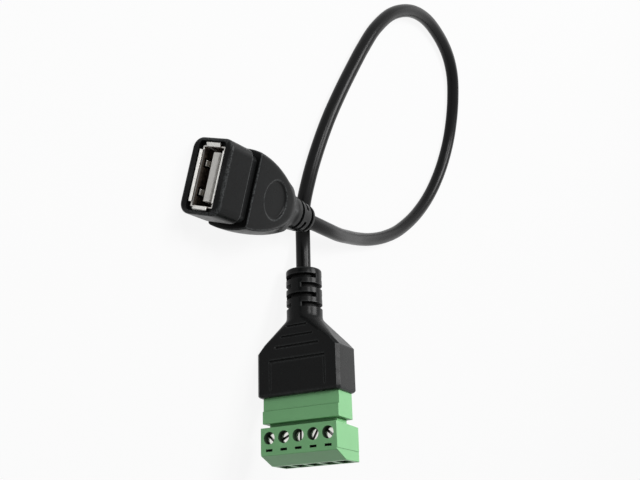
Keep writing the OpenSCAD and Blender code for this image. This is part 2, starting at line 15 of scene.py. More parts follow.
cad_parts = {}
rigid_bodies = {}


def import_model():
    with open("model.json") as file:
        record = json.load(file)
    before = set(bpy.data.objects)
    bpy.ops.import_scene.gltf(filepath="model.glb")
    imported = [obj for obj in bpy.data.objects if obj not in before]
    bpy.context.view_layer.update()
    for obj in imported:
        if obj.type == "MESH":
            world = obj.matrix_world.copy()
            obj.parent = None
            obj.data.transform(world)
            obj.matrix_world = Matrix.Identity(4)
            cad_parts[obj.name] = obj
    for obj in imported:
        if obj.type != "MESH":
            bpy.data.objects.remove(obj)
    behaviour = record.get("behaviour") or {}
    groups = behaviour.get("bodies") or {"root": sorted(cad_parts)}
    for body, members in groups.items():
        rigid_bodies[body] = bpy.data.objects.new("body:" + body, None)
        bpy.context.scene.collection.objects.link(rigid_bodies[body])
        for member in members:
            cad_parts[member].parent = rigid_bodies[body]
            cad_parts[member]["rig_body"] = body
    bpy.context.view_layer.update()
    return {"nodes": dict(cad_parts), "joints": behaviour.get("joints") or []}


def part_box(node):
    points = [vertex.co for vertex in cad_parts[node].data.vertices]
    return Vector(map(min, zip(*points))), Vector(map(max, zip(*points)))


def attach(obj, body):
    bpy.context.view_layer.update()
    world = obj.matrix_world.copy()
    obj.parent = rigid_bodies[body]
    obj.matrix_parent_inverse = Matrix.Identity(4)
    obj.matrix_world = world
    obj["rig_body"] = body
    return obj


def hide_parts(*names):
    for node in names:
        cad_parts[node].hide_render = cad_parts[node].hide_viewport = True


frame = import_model()

bl_info = {
    "name": "Socket lead looks",
    "version": (1, 0, 0),
    "blender": (4, 5, 0),
    "location": "View3D > Sidebar > Lead",
    "description": "Dresses a socket lead with a screw terminal around its packed solids",
    "category": "Object",
}

MM = 0.001
FULL_TURN = 2 * math.pi
POLES = range(1, 6)
JOINTS = {joint["name"]: joint for joint in frame["joints"]}

# Route of the cord, from inside the terminal's strain relief to the socket's, in millimetres
CORD_ROUTE = [
    (23.3, 41.1, 7.8), (17.6, 41.6, 6), (11.9, 42.1, 4.1), (6, 42.3, 2.4), (1, 41.1, 1.8),
    (-4, 39.4, 1.8), (-10, 39.3, 1.8), (-16, 39.9, 1.8), (-23, 41.3, 1.8), (-29, 43, 1.8),
    (-36, 45.6, 1.8), (-43, 48.6, 1.8), (-50, 51.9, 1.8), (-57, 56.1, 1.8), (-64, 63, 1.8),
    (-69, 72.5, 1.8), (-71, 82.5, 1.8), (-70.2, 92.5, 1.8), (-67.5, 101.5, 1.8), (-63, 107.8, 1.8),
    (-57, 111.5, 1.8), (-50, 113.7, 1.8), (-42, 114.3, 1.8), (-33, 112.6, 1.8), (-24, 108.3, 1.8),
    (-16, 101.5, 1.8), (-9.5, 92.8, 1.8), (-5.6, 84.5, 1.8), (-3.1, 76.2, 1.9), (-1.6, 68, 2.5),
    (-0.6, 60, 3.9), (0.1, 53.5, 5.1), (0.3, 47, 5.9), (0.2, 41, 5.8), (0, 35.4, 5.2),
    (0, 31.2, 5.2), (0, 27, 5.2),
]


class LeadSizes(bpy.types.PropertyGroup):
    """Sizes of the finish that the solids leave open."""

    cord_width: FloatProperty(
        name="Cord width", description="Diameter of the cord", default=0.0036, min=0.003, max=0.004,
        precision=5, unit="LENGTH")
    cord_sides: IntProperty(
        name="Cord sides", description="Facets around the cord, an even number", default=28, min=12, max=64)
    block_corner: FloatProperty(
        name="Block corner", description="Corner radius of the socket's front block", default=0.0023,
        min=0.0005, max=0.004, precision=5, unit="LENGTH")
    hood_edge: FloatProperty(
        name="Hood edge", description="Bevel along the edges of the terminal's hood", default=0.0007,
        min=0.0001, max=0.001, precision=5, unit="LENGTH")
    slot_depth: FloatProperty(
        name="Slot depth", description="Depth of the flexing slots in both strain reliefs", default=0.0012,
        min=0.0005, max=0.0015, precision=5, unit="LENGTH")
    field_depth: FloatProperty(
        name="Field depth", description="Depth of the bare round field on the socket", default=0.00045,
        min=0.0001, max=0.001, precision=5, unit="LENGTH")
    line_depth: FloatProperty(
        name="Line depth", description="Depth of the grooved lines on the hood", default=0.0003,
        min=0.0001, max=0.0006, precision=5, unit="LENGTH")
    green_edge: FloatProperty(
        name="Green edge", description="Rounding along the long edges of the green housings",
        default=0.00012, min=0.00002, max=0.0003, precision=5, unit="LENGTH")
    metal_edge: FloatProperty(
        name="Metal edge", description="Rounding along the edges of screws, shell and tongue",
        default=0.00006, min=0.00001, max=0.0002, precision=5, unit="LENGTH")


class LeadColours(bpy.types.PropertyGroup):
    """Colours of the finishes."""

    moulding: FloatVectorProperty(
        name="Moulding", description="Black of the two mouldings", default=(0.0056, 0.0059, 0.006),
        min=0, max=1, subtype="COLOR")
    cord: FloatVectorProperty(
        name="Cord", description="Black of the cord's jacket", default=(0.0046, 0.0046, 0.0048),
        min=0, max=1, subtype="COLOR")
    green: FloatVectorProperty(
        name="Green", description="Green of the plug and its header", default=(0.178, 0.45, 0.192),
        min=0, max=1, subtype="COLOR")
    nickel: FloatVectorProperty(
        name="Nickel", description="Bright plating of shell and screws", default=(0.78, 0.77, 0.74),
        min=0, max=1, subtype="COLOR")
    tin: FloatVectorProperty(
        name="Tin", description="Dull plating of pins and drain wires", default=(0.6, 0.59, 0.56),
        min=0, max=1, subtype="COLOR")
    brass: FloatVectorProperty(
        name="Brass", description="Plain brass of cages and contact strips", default=(0.6, 0.42, 0.17),
        min=0, max=1, subtype="COLOR")
    tongue: FloatVectorProperty(
        name="Tongue", description="Light grey of the socket's tongue", default=(0.64, 0.63, 0.6),
        min=0, max=1, subtype="COLOR")
    floor: FloatVectorProperty(
        name="Floor", description="Pale floor", default=(0.58, 0.58, 0.58), min=0, max=1, subtype="COLOR")


# Materials

# Scales of the noise, in cells for each metre
CLOUD_CELLS = 160.0
GLOSS_CELLS = 700.0
PLATING_CELLS = 900.0
INSIDE_GLOSS_CELLS = 1500.0
DRAWING_CELLS = 2500.0
INSIDE_GRAIN_CELLS = 3000.0

# Painted shade in crevices is given as a distance, its deepest grey and the two degrees of opening that the
# grey runs between
FINE_CREVICE_SHADE = (0.0006, 0.4, 0.3, 0.85)
CREVICE_ROUGHNESS = 0.95

# Dark brown of the painted shade inside the socket's shell
SHELL_SHADE_BROWN = (0.15, 0.118, 0.096)


def feed(tree, value, socket):
    """Link an input to a socket, or set the input's own value."""
    if isinstance(value, bpy.types.NodeSocket):
        tree.links.new(value, socket)
    else:
        socket.default_value = value


def add_node(tree, kind, inputs):
    """A new node with its inputs linked to the given sockets or set to the given values."""
    node = tree.nodes.new(kind)
    for name, value in inputs.items():
        feed(tree, value, node.inputs[name])
    return node


def new_material(name):
    """A material with its Principled shader, its node tree and an Object coordinate socket."""
    material = bpy.data.materials.new(name)
    material.use_nodes = True
    tree = material.node_tree
    shader = next(node for node in tree.nodes if node.type == "BSDF_PRINCIPLED")
    place = tree.nodes.new("ShaderNodeTexCoord")
    return material, shader, tree, place.outputs["Object"]


def noise_of(tree, place, scale, detail=3.0):
    """A noise texture read at the given coordinates; returns its Fac socket."""
    noise = add_node(tree, "ShaderNodeTexNoise", {"Vector": place, "Scale": scale, "Detail": detail})
    return noise.outputs["Fac"]


def stretched(tree, place, scale):
    """The coordinates multiplied by one factor for each axis."""
    mapping = add_node(tree, "ShaderNodeMapping", {"Vector": place, "Scale": scale})
    return mapping.outputs["Vector"]


def rgba(tone):
    """A colour or a grey level as an opaque colour."""
    return (*tone, 1) if hasattr(tone, "__len__") else (tone, tone, tone, 1)


def ramp_of(tree, fac, low, high, start=0.3, end=0.7, between=()):
    """A colour ramp over a factor; low, high and the stops between them are grey levels or colours."""
    ramp = add_node(tree, "ShaderNodeValToRGB", {"Fac": fac})
    stops = ramp.color_ramp.elements
    stops[0].position = start
    stops[1].position = end
    stops[0].color = rgba(low)
    stops[1].color = rgba(high)
    for position, tone in between:
        stops.new(position).color = rgba(tone)
    return ramp.outputs["Color"]


def range_of(tree, value, low, high, below=0.0, above=1.0):
    """A straight run from one level at low to another at high, held outside them."""
    run = add_node(tree, "ShaderNodeMapRange", {
        "Value": value, "From Min": low, "From Max": high, "To Min": below, "To Max": above})
    return run.outputs["Result"]


def mix_of(tree, factor, one, other, blend="MIX"):
    """Two colours mixed by a factor; each of the three is a socket or a plain value."""
    mix = tree.nodes.new("ShaderNodeMix")
    mix.data_type = "RGBA"
    mix.blend_type = blend
    feed(tree, factor, mix.inputs["Factor"])
    feed(tree, one, mix.inputs["A"])
    feed(tree, other, mix.inputs["B"])
    return mix.outputs["Result"]


def times(tree, one, other):
    """The product of two colours."""
    return mix_of(tree, 1.0, one, other, "MULTIPLY")


def math_of(tree, operation, one, other):
    """The result of one operation on two numbers."""
    node = add_node(tree, "ShaderNodeMath", {0: one, 1: other})
    node.operation = operation
    return node.outputs["Value"]


def bump_of(tree, shader, height, distance, strength):
    """A bump on the shader's normal from a height factor."""
    bump = add_node(tree, "ShaderNodeBump", {"Height": height, "Distance": distance, "Strength": strength})
    tree.links.new(bump.outputs["Normal"], shader.inputs["Normal"])


def crevice_of(tree, distance, deepest, start=0.25, end=0.8):
    """Painted shade: a grey that falls from white in the open to deepest where the piece's own faces close
    in on each other within a distance."""
    opening = add_node(tree, "ShaderNodeAmbientOcclusion", {"Distance": distance})
    opening.samples = 8
    opening.only_local = True
    return ramp_of(tree, opening.outputs["AO"], deepest, 1.0, start, end)


def edge_of(tree, radius):
    """A grey that rises to white along sharp edges: how far a normal rounded over radius turns away from
    the plain one. Without a radius, the piece's own attribute."""
    if radius is None:
        own = tree.nodes.new("ShaderNodeAttribute")
        own.attribute_name = "worn"
        return own.outputs["Fac"]
    rounded = add_node(tree, "ShaderNodeBevel", {"Radius": radius})
    rounded.samples = 6
    plain = tree.nodes.new("ShaderNodeNewGeometry")
    normals = {0: rounded.outputs["Normal"], 1: plain.outputs["Normal"]}
    both = add_node(tree, "ShaderNodeVectorMath", normals)
    both.operation = "DOT_PRODUCT"
    return ramp_of(tree, both.outputs["Value"], 1.0, 0.0, 0.86, 0.99)


def depth_and_height(tree, place):
    """The y and the z of the coordinates."""
    split = add_node(tree, "ShaderNodeSeparateXYZ", {"Vector": place})
    return split.outputs["Y"], split.outputs["Z"]


def shade(colour, factor):
    """A colour made lighter or darker."""
    return tuple(min(1.0, channel * factor) for channel in colour)


def moulded_plastic(name, colour, rough, grain, worn, edge=0.00025, spread=0.12, specular=0.5,
                    crevice=(0.002, 0.15), grain_depth=0.000008):
    """Moulded plastic: faint cloudy colour, lighter in patches along outward edges as rubbed edges and a
    painted highlight, darker in crevices as painted shade and duller there, with uneven gloss and a fine
    grain."""
    material, shader, tree, place = new_material(name)
    clouds = noise_of(tree, place, CLOUD_CELLS)
    tone = ramp_of(tree, clouds, shade(colour, 1 - spread), shade(colour, 1 + spread))
    # Rubbed edges and a painted highlight: the colour lightens in patches along outward edges
    patches = ramp_of(tree, noise_of(tree, place, grain), 0.15, 1.0, 0.38, 0.62)
    edge_wear_and_highlight = times(tree, edge_of(tree, edge), patches)
    tone = mix_of(tree, edge_wear_and_highlight, tone, rgba(shade(colour, worn)))
    # Painted shade: the colour darkens where the piece's own faces close in; the same grey also makes those
    # places duller
    shade_and_gloss_grey = crevice_of(tree, *crevice)
    tone = times(tree, tone, shade_and_gloss_grey)
    tone = times(tree, tone, crevice_of(tree, *FINE_CREVICE_SHADE))
    tree.links.new(tone, shader.inputs["Base Color"])
    even = ramp_of(tree, noise_of(tree, place, GLOSS_CELLS), rough - 0.03, rough + 0.04)
    gloss = mix_of(tree, shade_and_gloss_grey, rgba(CREVICE_ROUGHNESS), even)
    tree.links.new(gloss, shader.inputs["Roughness"])
    shader.inputs["Specular IOR Level"].default_value = specular
    bump_of(tree, shader, noise_of(tree, place, grain, 2.0), grain_depth, 0.4)
    return material


def plated_metal(name, colour, rough, crevice=(0.0012, 0.1)):
    """Plated metal: full reflection, darker in crevices as painted shade, gloss broken by fine drawing
    marks.
    """
    material, shader, tree, place = new_material(name)
    plating = noise_of(tree, place, PLATING_CELLS)
    tone = ramp_of(tree, plating, shade(colour, 0.92), shade(colour, 1.06))
    # Painted shade: the plating darkens in its own crevices
    tone = times(tree, tone, crevice_of(tree, *crevice))
    tree.links.new(tone, shader.inputs["Base Color"])
    shader.inputs["Metallic"].default_value = 1.0
    marks = noise_of(tree, stretched(tree, place, (1.0, 6.0, 1.0)), DRAWING_CELLS)
    gloss = ramp_of(tree, marks, max(0.05, rough - 0.08), rough + 0.08)
    tree.links.new(gloss, shader.inputs["Roughness"])
    bump_of(tree, shader, marks, 0.000002, 0.2)
    return material


def inside_finish(tree, shader, place, rough, grain_depth):
    """Uneven gloss and a faint grain for what shows inside the socket."""
    gloss = ramp_of(tree, noise_of(tree, place, INSIDE_GLOSS_CELLS), rough - 0.05, rough + 0.08)
    tree.links.new(gloss, shader.inputs["Roughness"])
    bump_of(tree, shader, noise_of(tree, place, INSIDE_GRAIN_CELLS, 2.0), grain_depth, 0.2)


def drawn_shell(name, colour, rough, mouth_y, low_wall):
    """The socket's shell: bright flared lips, then painted shade by the depth behind mouth_y: a dark fold
    behind them, a darker rim and a dark brown inside; its springs stay bright, out of that painted shade,
    by their height over the low wall."""
    material, shader, tree, place = new_material(name)
    depth, height = depth_and_height(tree, place)
    # Painted shade: darker with depth behind the mouth, with a dark fold and a darker rim behind the lips
    inward = range_of(tree, depth, mouth_y, mouth_y + 4 * MM)
    shaded_fold_and_rim = [(0.11, SHELL_SHADE_BROWN), (0.165, SHELL_SHADE_BROWN), (0.18, colour), (0.24, shade(colour, 0.7)),
                    (0.3, SHELL_SHADE_BROWN)]
    tone = ramp_of(tree, inward, colour, shade(SHELL_SHADE_BROWN, 0.5), 0.1, 0.6, shaded_fold_and_rim)
    # The springs are kept out of the painted shade
    over_wall = range_of(tree, height, low_wall + 0.2 * MM, low_wall + 0.3 * MM)
    under_top = range_of(tree, height, low_wall + 1.3 * MM, low_wall + 1.4 * MM, 1.0, 0.0)
    spring = times(tree, over_wall, under_top)
    tone = mix_of(tree, spring, tone, rgba(shade(colour, 0.85)))
    tree.links.new(tone, shader.inputs["Base Color"])
    shader.inputs["Metallic"].default_value = 0.5
    inside_finish(tree, shader, place, rough, 0.000005)
    return material


def depth_shaded_tongue(name, colour, rough, bright_y, dull_y, dull):
    """The socket's tongue: bright at its tip and darker with depth as painted shade, from bright_y to the
    depth where that shade is full.
    """
    material, shader, tree, place = new_material(name)
    depth, _ = depth_and_height(tree, place)
    # Painted shade: the tongue's grey darkens with depth into the socket
    inward = range_of(tree, depth, bright_y, dull_y)
    tone = ramp_of(tree, inward, colour, shade(colour, dull), 0.1, 0.9)
    tree.links.new(tone, shader.inputs["Base Color"])
    inside_finish(tree, shader, place, rough, 0.00001)
    return material


def extruded_jacket(name, colour):
    """The cord's jacket: satin, with faint streaks along its length read from its own UV map."""
    material, shader, tree, _ = new_material(name)
    own = tree.nodes.new("ShaderNodeUVMap")
    own.uv_map = "jacket"
    along = own.outputs["UV"]
    streaks = noise_of(tree, stretched(tree, along, (60.0, 16.0, 1.0)), 3.0)
    tone = ramp_of(tree, streaks, shade(colour, 0.85), shade(colour, 1.2))
    tree.links.new(tone, shader.inputs["Base Color"])
    gloss = ramp_of(tree, streaks, 0.24, 0.31)
    tree.links.new(gloss, shader.inputs["Roughness"])
    shader.inputs["Specular IOR Level"].default_value = 0.12
    grain = noise_of(tree, stretched(tree, along, (3000.0, 90.0, 1.0)), 1.0, 2.0)
    bump_of(tree, shader, grain, 0.00001, 0.3)
    return material


def finish_of(name, make, **values):
    """The named material, made once."""
    return bpy.data.materials.get(name) or make(name, **values)


def dress(obj, material):
    """Give an object one material in place of what it has."""
    obj.data.materials.clear()
    obj.data.materials.append(material)


# Surfaces


def mesh_piece(name, points, faces, smooth_angle, material, uv=None, worn=None):
    """A mesh object at the origin from an array of points and an array of quads, with UVs for its corners
    or how strongly its points take rubbed edges and a painted highlight."""
    mesh = bpy.data.meshes.new(name)
    mesh.vertices.add(len(points))
    mesh.vertices.foreach_set("co", np.ascontiguousarray(points, np.float32).ravel())
    mesh.loops.add(faces.size)
    mesh.loops.foreach_set("vertex_index", np.ascontiguousarray(faces, np.int32).ravel())
    mesh.polygons.add(len(faces))
    mesh.polygons.foreach_set("loop_start", np.arange(0, faces.size, faces.shape[1], dtype=np.int32))
    mesh.polygons.foreach_set("use_smooth", np.ones(len(faces), bool))
    mesh.update(calc_edges=True)
    if uv is not None:
        layer = mesh.uv_layers.new(name="jacket")
        layer.data.foreach_set("uv", np.ascontiguousarray(uv, np.float32).ravel())
    if worn is not None:
        layer = mesh.attributes.new("worn", "FLOAT", "POINT")
        layer.data.foreach_set("value", np.ascontiguousarray(worn, np.float32).ravel())
    mesh.set_sharp_from_angle(angle=smooth_angle)
    mesh.materials.append(material)
    obj = bpy.data.objects.new(name, mesh)
    bpy.context.scene.collection.objects.link(obj)
    return obj


def ring_quads(rings, sides, closed):
    """Quads between neighbouring rings of points, facing outwards where rings follow +y and points turn
    from x to z."""
    i = np.arange(rings if closed else rings - 1)[:, None]
    j = np.arange(sides)[None, :]
    here, there = i * sides, (i + 1) % rings * sides
    ahead = (j + 1) % sides
    return np.stack([here + j, there + j, there + ahead, here + ahead], axis=-1).reshape(-1, 4)


def end_quads(sides):
    """Quads that close a ring with an even number of points, in strips across it, facing where its turn
    faces."""
    k = np.arange(sides // 2 - 1)
    return np.stack([k, k + 1, sides - 2 - k, sides - 1 - k], axis=1)


def smoothstep(value, low, high):
    """0 below low, 1 above high and an easy S between them."""
    t = np.clip((value - low) / (high - low), 0, 1)
    return t * t * (3 - 2 * t)


def outward_bends(points):
    """How far each point of closed rings lies on an outward edge, from 0 on flat and hollow parts to 1: the
    turn of the normal for each length, the larger of the ones along the rings and across them."""
    steps = [np.roll(points, -1, axis) - np.roll(points, 1, axis) for axis in (0, 1)]
    normal = np.cross(steps[0], steps[1])
    normal = normal / np.maximum(np.linalg.norm(normal, axis=-1, keepdims=True), 1e-15)
    bends = []
    for axis, step in enumerate(steps):
        turn = np.roll(normal, -1, axis) - np.roll(normal, 1, axis)
        bends.append((turn * step).sum(-1) / np.maximum((step ** 2).sum(-1), 1e-10))
    blunt, keen = 350.0, 1300.0
    return smoothstep(np.maximum(*bends), blunt, keen)


def round_rect_reach(turn, half_w, half_h, corner):
    """Reach of a rounded rectangle from its middle in the direction turn: the flat side or the flat top
    that the ray meets, or else the corner's arc, from the quadratic for a ray and a circle."""
    across, up = np.abs(np.cos(turn)), np.abs(np.sin(turn))
    side = half_w / np.maximum(across, 1e-9)
    top = half_h / np.maximum(up, 1e-9)
    flat_w, flat_h = half_w - corner, half_h - corner
    middle = across * flat_w + up * flat_h
    arc = middle + np.sqrt(np.maximum(middle ** 2 - flat_w ** 2 - flat_h ** 2 + corner ** 2, 0))
    return np.where(side * up <= flat_h, side, np.where(top * across <= flat_w, top, arc))


def section_turns(half_w, half_h, top_step, low_step, side_step):
    """Directions around a section: even steps in x along its top and its underside, even steps in z along
    its sides, and a close fan around its four corners."""
    top = np.arange(-half_w, half_w + top_step / 2, top_step)
    low = np.arange(-half_w, half_w + low_step / 2, low_step)
    side = np.arange(-half_h, half_h + side_step / 2, side_step)
    corner = math.atan2(half_h, half_w) + np.linspace(-0.06, 0.06, 13)
    turns = np.concatenate([
        np.arctan2(half_h, top), np.arctan2(-half_h, low),
        np.arctan2(side, half_w), np.arctan2(side, -half_w),
        corner, math.pi - corner, -corner, corner - math.pi,
    ])
    turns = np.unique(np.round(np.mod(turns, FULL_TURN), 3))
    return turns[turns < FULL_TURN - 0.0005]


def stations(*runs):
    """Places along a piece from several runs, in order and each taken once, as a column."""
    return np.unique(np.round(np.concatenate(runs), 7))[:, None]


def around(values, spread):
    """Each value with close neighbours at the given offsets, for stations that carry a crisp edge."""
    return (np.asarray(values)[:, None] + np.asarray(spread)[None, :]).ravel()


def round_steps(radius, count):
    """Distances from an end that carry a quarter round of that radius, closest together at the end."""
    return radius * (1 - np.cos(np.linspace(0, math.pi / 2, count)))


def quarter_round(depth, radius):
    """How far an edge stands in, at a depth behind an end that has a quarter round of that radius."""
    left = np.clip(radius - depth, 0, radius)
    return radius - np.sqrt(radius ** 2 - left ** 2)


def columns(rows):
    """Rows of sizes in millimetres as one column in metres for each size."""
    return np.array(rows).T[:, :, None] * MM


# Flexing slots of both strain reliefs

SLOT_WIDTH = 1.1 * MM
SLOT_WEB = 2.8 * MM
SLOT_WALL = 0.05 * MM


def flexing_slots(y, turn, reach, rows, depth, first_web_up):
    """Depth of the flexing slots at each station and direction: a flat-bottomed groove around each row,
    left out at two webs that turn by a quarter from row to row."""
    half, half_web = SLOT_WIDTH / 2, SLOT_WEB / 2
    cut = np.zeros(np.broadcast_shapes(y.shape, turn.shape))
    for index, row in enumerate(rows):
        along = smoothstep(half + SLOT_WALL - np.abs(y - row), 0, SLOT_WALL)
        webs_up = (index % 2 == 0) == first_web_up
        aside = np.abs(reach * (np.cos(turn) if webs_up else np.sin(turn)))
        cut = np.maximum(cut, depth * along * smoothstep(aside, half_web, half_web + 3 * SLOT_WALL))
    return cut


def slot_stations(rows):
    """Stations that hold both walls and the floor of each flexing slot."""
    half = SLOT_WIDTH / 2
    offsets = np.array([0, half / 2, half, half + SLOT_WALL, half + 2 * SLOT_WALL])
    return around(rows, np.concatenate([-offsets, offsets]))


# Socket moulding: x across, y back from its mouth, z up from its middle

SOCKET_PLACE = (0, -4 * MM, 5.2 * MM)
BLOCK_END = 7.8 * MM
GROOVE_END = 10.4 * MM
SHIELD_END = 31 * MM
SOCKET_END = 39.4 * MM
SHIELD_HALF_W = 9.1 * MM
SOCKET_HALF_H = 5.2 * MM
RELIEF_RADIUS = 4.2 * MM
SOCKET_RIM = 0.4 * MM
FIELD_Y = 19 * MM
FIELD_RADIUS = 4.2 * MM
FIELD_WALL = 0.5 * MM
OPENING_HEIGHT = 5.12 * MM

# Its inside from the cord's hole to the mouth, in millimetres: y, half width and height, corner
SOCKET_INSIDE = [
    (39.4, 1.9, 1.9, 1.9), (27, 1.9, 1.9, 1.9), (27, 4.7, 3, 1.8), (14.04, 4.7, 3, 1.8),
    (14.04, 6.59, 2.9, 0.34), (0.87, 6.59, 2.9, 0.34), (0.87, 7.42, 3.43, 0.9), (0, 7.42, 3.43, 0.9),
]


def socket_block(turns, corner):
    """Places and reaches of the front block: a rounded rectangle with a quarter round at each end."""
    half_w, front_rim, rear_rim = 8.2 * MM, 0.65 * MM, 0.39 * MM
    y = stations(
        round_steps(front_rim, 7), np.array([0.8, 3, 5.5, 7.3]) * MM, BLOCK_END - round_steps(rear_rim, 6))
    inset = quarter_round(y, front_rim) + quarter_round(BLOCK_END - y, rear_rim)
    return y, round_rect_reach(turns, half_w - inset, SOCKET_HALF_H - inset, corner - inset / 2)


def socket_groove(turns):
    """Places and reaches of the groove behind the block: a smaller rounded rectangle."""
    half_w, half_h, corner = 7.3 * MM, 4.3 * MM, 1.35 * MM
    y = np.array([BLOCK_END, BLOCK_END + 0.05 * MM, GROOVE_END - 0.4 * MM, GROOVE_END])[:, None]
    return y, round_rect_reach(turns, half_w, half_h, corner) + 0 * y


def shield_reach(turn, behind):
    """Reach of the socket's rear half at a distance behind its front: the soft intersection of a band that
    narrows on a circle's arc, a broad face that closes like a superellipse and the slope between them, as
    the minus q-th root of the sum of the q-th powers of each plane's share of the ray, drawn in to a round
    at the end."""
    length, flat_length = SHIELD_END - GROOVE_END, 17.2 * MM
    band_half_h, border, least_border, end_drop = 2.5 * MM, 0.8 * MM, 0.1 * MM, 0.8 * MM
    drop_start, round_start = 15 * MM, 18.4 * MM
    narrowing = SHIELD_HALF_W - RELIEF_RADIUS
    arc = (length ** 2 + narrowing ** 2) / (2 * narrowing)
    band = SHIELD_HALF_W - arc + np.sqrt(arc ** 2 - np.clip(behind, 0, length) ** 2)
    share = np.clip(behind / flat_length, 0, 0.999)
    flat = (SHIELD_HALF_W - border) * (1 - share ** 1.8) ** 0.6
    high = SOCKET_HALF_H - end_drop * smoothstep(behind, drop_start, length)
    across, up = np.abs(np.cos(turn)), np.abs(np.sin(turn))
    slope_x, slope_z = high - band_half_h, band - np.minimum(flat, band - least_border)
    slope_reach = slope_x * band + slope_z * band_half_h
    q = 30
    shares = (across / band) ** q + (up / high) ** q
    shares = shares + ((across * slope_x + up * slope_z) / slope_reach) ** q
    shield = shares ** (-1 / q)
    return shield + (RELIEF_RADIUS - shield) * smoothstep(behind, round_start, length)


def socket_shield(turns):
    """Places and reaches of the rear half: the shield, drawn in by a quarter round at its front, with close
    places across its round field."""
    field_from, field_to = FIELD_Y - FIELD_RADIUS - 0.3 * MM, FIELD_Y + FIELD_RADIUS + 0.35 * MM
    run_out = SHIELD_END - 1.8 * MM
    y = stations(
        GROOVE_END + round_steps(SOCKET_RIM, 6), np.arange(GROOVE_END + 0.8 * MM, run_out, 0.6 * MM),
        np.arange(field_from, field_to, 0.14 * MM), np.linspace(run_out, SHIELD_END, 7))
    behind = y - GROOVE_END
    return y, shield_reach(turns, behind) - quarter_round(behind, SOCKET_RIM)


def socket_relief(turns, slot_depth):
    """Places and reaches of the strain relief: a round taper with flexing slots and a quarter round at its
    end."""
    narrowing = 0.8 * MM
    rows = SHIELD_END + np.array([1.9, 4.3, 6.7]) * MM
    y = stations(
        np.linspace(SHIELD_END + 0.1 * MM, SOCKET_END - SOCKET_RIM, 16), slot_stations(rows),
        SOCKET_END - round_steps(SOCKET_RIM, 6))
    taper = RELIEF_RADIUS - narrowing * (y - SHIELD_END) / (SOCKET_END - SHIELD_END)
    taper = taper - quarter_round(SOCKET_END - y, SOCKET_RIM)
    return y, taper - flexing_slots(y, turns, taper, rows, slot_depth, first_web_up=False)


def socket_inside(turns):
    """Places and reaches of the inside: rounded rectangles for the cord's hole, the chamber, the shell's
    pocket and the recess around the mouth."""
    y, half_w, half_h, corner = columns(SOCKET_INSIDE)
    return y, round_rect_reach(turns, half_w, half_h, corner)


def socket_moulding_points(sizes):
    """Rings of the socket's moulding along its outside from the mouth to the cord, and back along its
    inside, with the round field sunk into its top."""
    turns = section_turns(
        SHIELD_HALF_W, SOCKET_HALF_H, top_step=0.16 * MM, low_step=0.4 * MM, side_step=0.5 * MM)[None, :]
    parts = [
        socket_block(turns, sizes.block_corner), socket_groove(turns), socket_shield(turns),
        socket_relief(turns, sizes.slot_depth), socket_inside(turns),
    ]
    y, reach = (np.concatenate(column) for column in zip(*parts))
    x, z = reach * np.cos(turns), reach * np.sin(turns)
    within = FIELD_RADIUS + FIELD_WALL / 2 - np.hypot(x, y - FIELD_Y)
    z = z - sizes.field_depth * smoothstep(within, 0, FIELD_WALL) * (z > 0)
    return np.stack([x, y + 0 * turns, z], axis=-1) + np.array(SOCKET_PLACE)


# Terminal moulding, in the terminal's own frame: x across the poles, y to the cord, z out of the screw face

HOOD_MOUTH = 9.5 * MM
TAPER_START = 20 * MM
TAPER_END = 26.9 * MM
NECK_START = 27.6 * MM
NECK_FULL = 29.4 * MM
TERMINAL_END = 40.2 * MM
HOOD_HALF_W = 10.9 * MM
HOOD_HALF_H = 4.55 * MM
HOOD_CORNER = 0.05 * MM
HOOD_MIDDLE = -HOOD_HALF_H
NECK_RADIUS = 4.35 * MM
NECK_RIM = 0.5 * MM

# Grooved lines on its front: y and length of those on the taper, and the frame below them
HOOD_LINES = [(20.95 * MM, 11.5 * MM), (23.35 * MM, 8.4 * MM), (25.75 * MM, 5.3 * MM)]
FRAME_TOP = 17.8 * MM
FRAME_FOOT = 11.1 * MM
FRAME_HALF_W = 7.2 * MM
LINE_SPREAD = np.linspace(-0.28, 0.28, 9) * MM

# Its inside from the cord's hole to the header, in millimetres: y, half width and height, corner, middle
TERMINAL_INSIDE = [
    (40.2, 1.9, 1.9, 1.9, -4.55), (26.6, 1.9, 1.9, 1.9, -4.55), (26.6, 2.35, 2.55, 0.3, -4.55),
    (19, 8.9, 2.55, 0.3, -4.55), (12.24, 8.9, 2.55, 0.3, -4.55), (12.24, 9.99, 3.415, 0.05, -4.875),
    (9.5, 9.99, 3.415, 0.05, -4.875),
]


def terminal_axes():
    """The terminal's origin and its three directions, from its middle screw and its joints."""
    along = -np.array(JOINTS["plug_pull"]["axis"])
    out = np.array(JOINTS["cage_rise_3"]["axis"])
    origin = np.array(JOINTS["screw_turn_3"]["pos_m"])
    return origin, np.stack([np.cross(along, out), along, out])


def hood_half_width(y):
    """Half width of the hood: straight, then a straight taper, then a cubic that runs out into the round
    neck."""
    slope = (NECK_RADIUS - HOOD_HALF_W) / (NECK_START - TAPER_START)
    straight = HOOD_HALF_W + slope * np.clip(y - TAPER_START, 0, TAPER_END - TAPER_START)
    from_width = HOOD_HALF_W + slope * (TAPER_END - TAPER_START)
    span = NECK_FULL - TAPER_END
    t = np.clip((y - TAPER_END) / span, 0, 1)
    cubic = (2 * t ** 3 - 3 * t ** 2 + 1) * from_width + (t ** 3 - 2 * t ** 2 + t) * slope * span
    cubic = cubic + (3 * t ** 2 - 2 * t ** 3) * NECK_RADIUS
    return np.where(y < TAPER_END, straight, cubic)


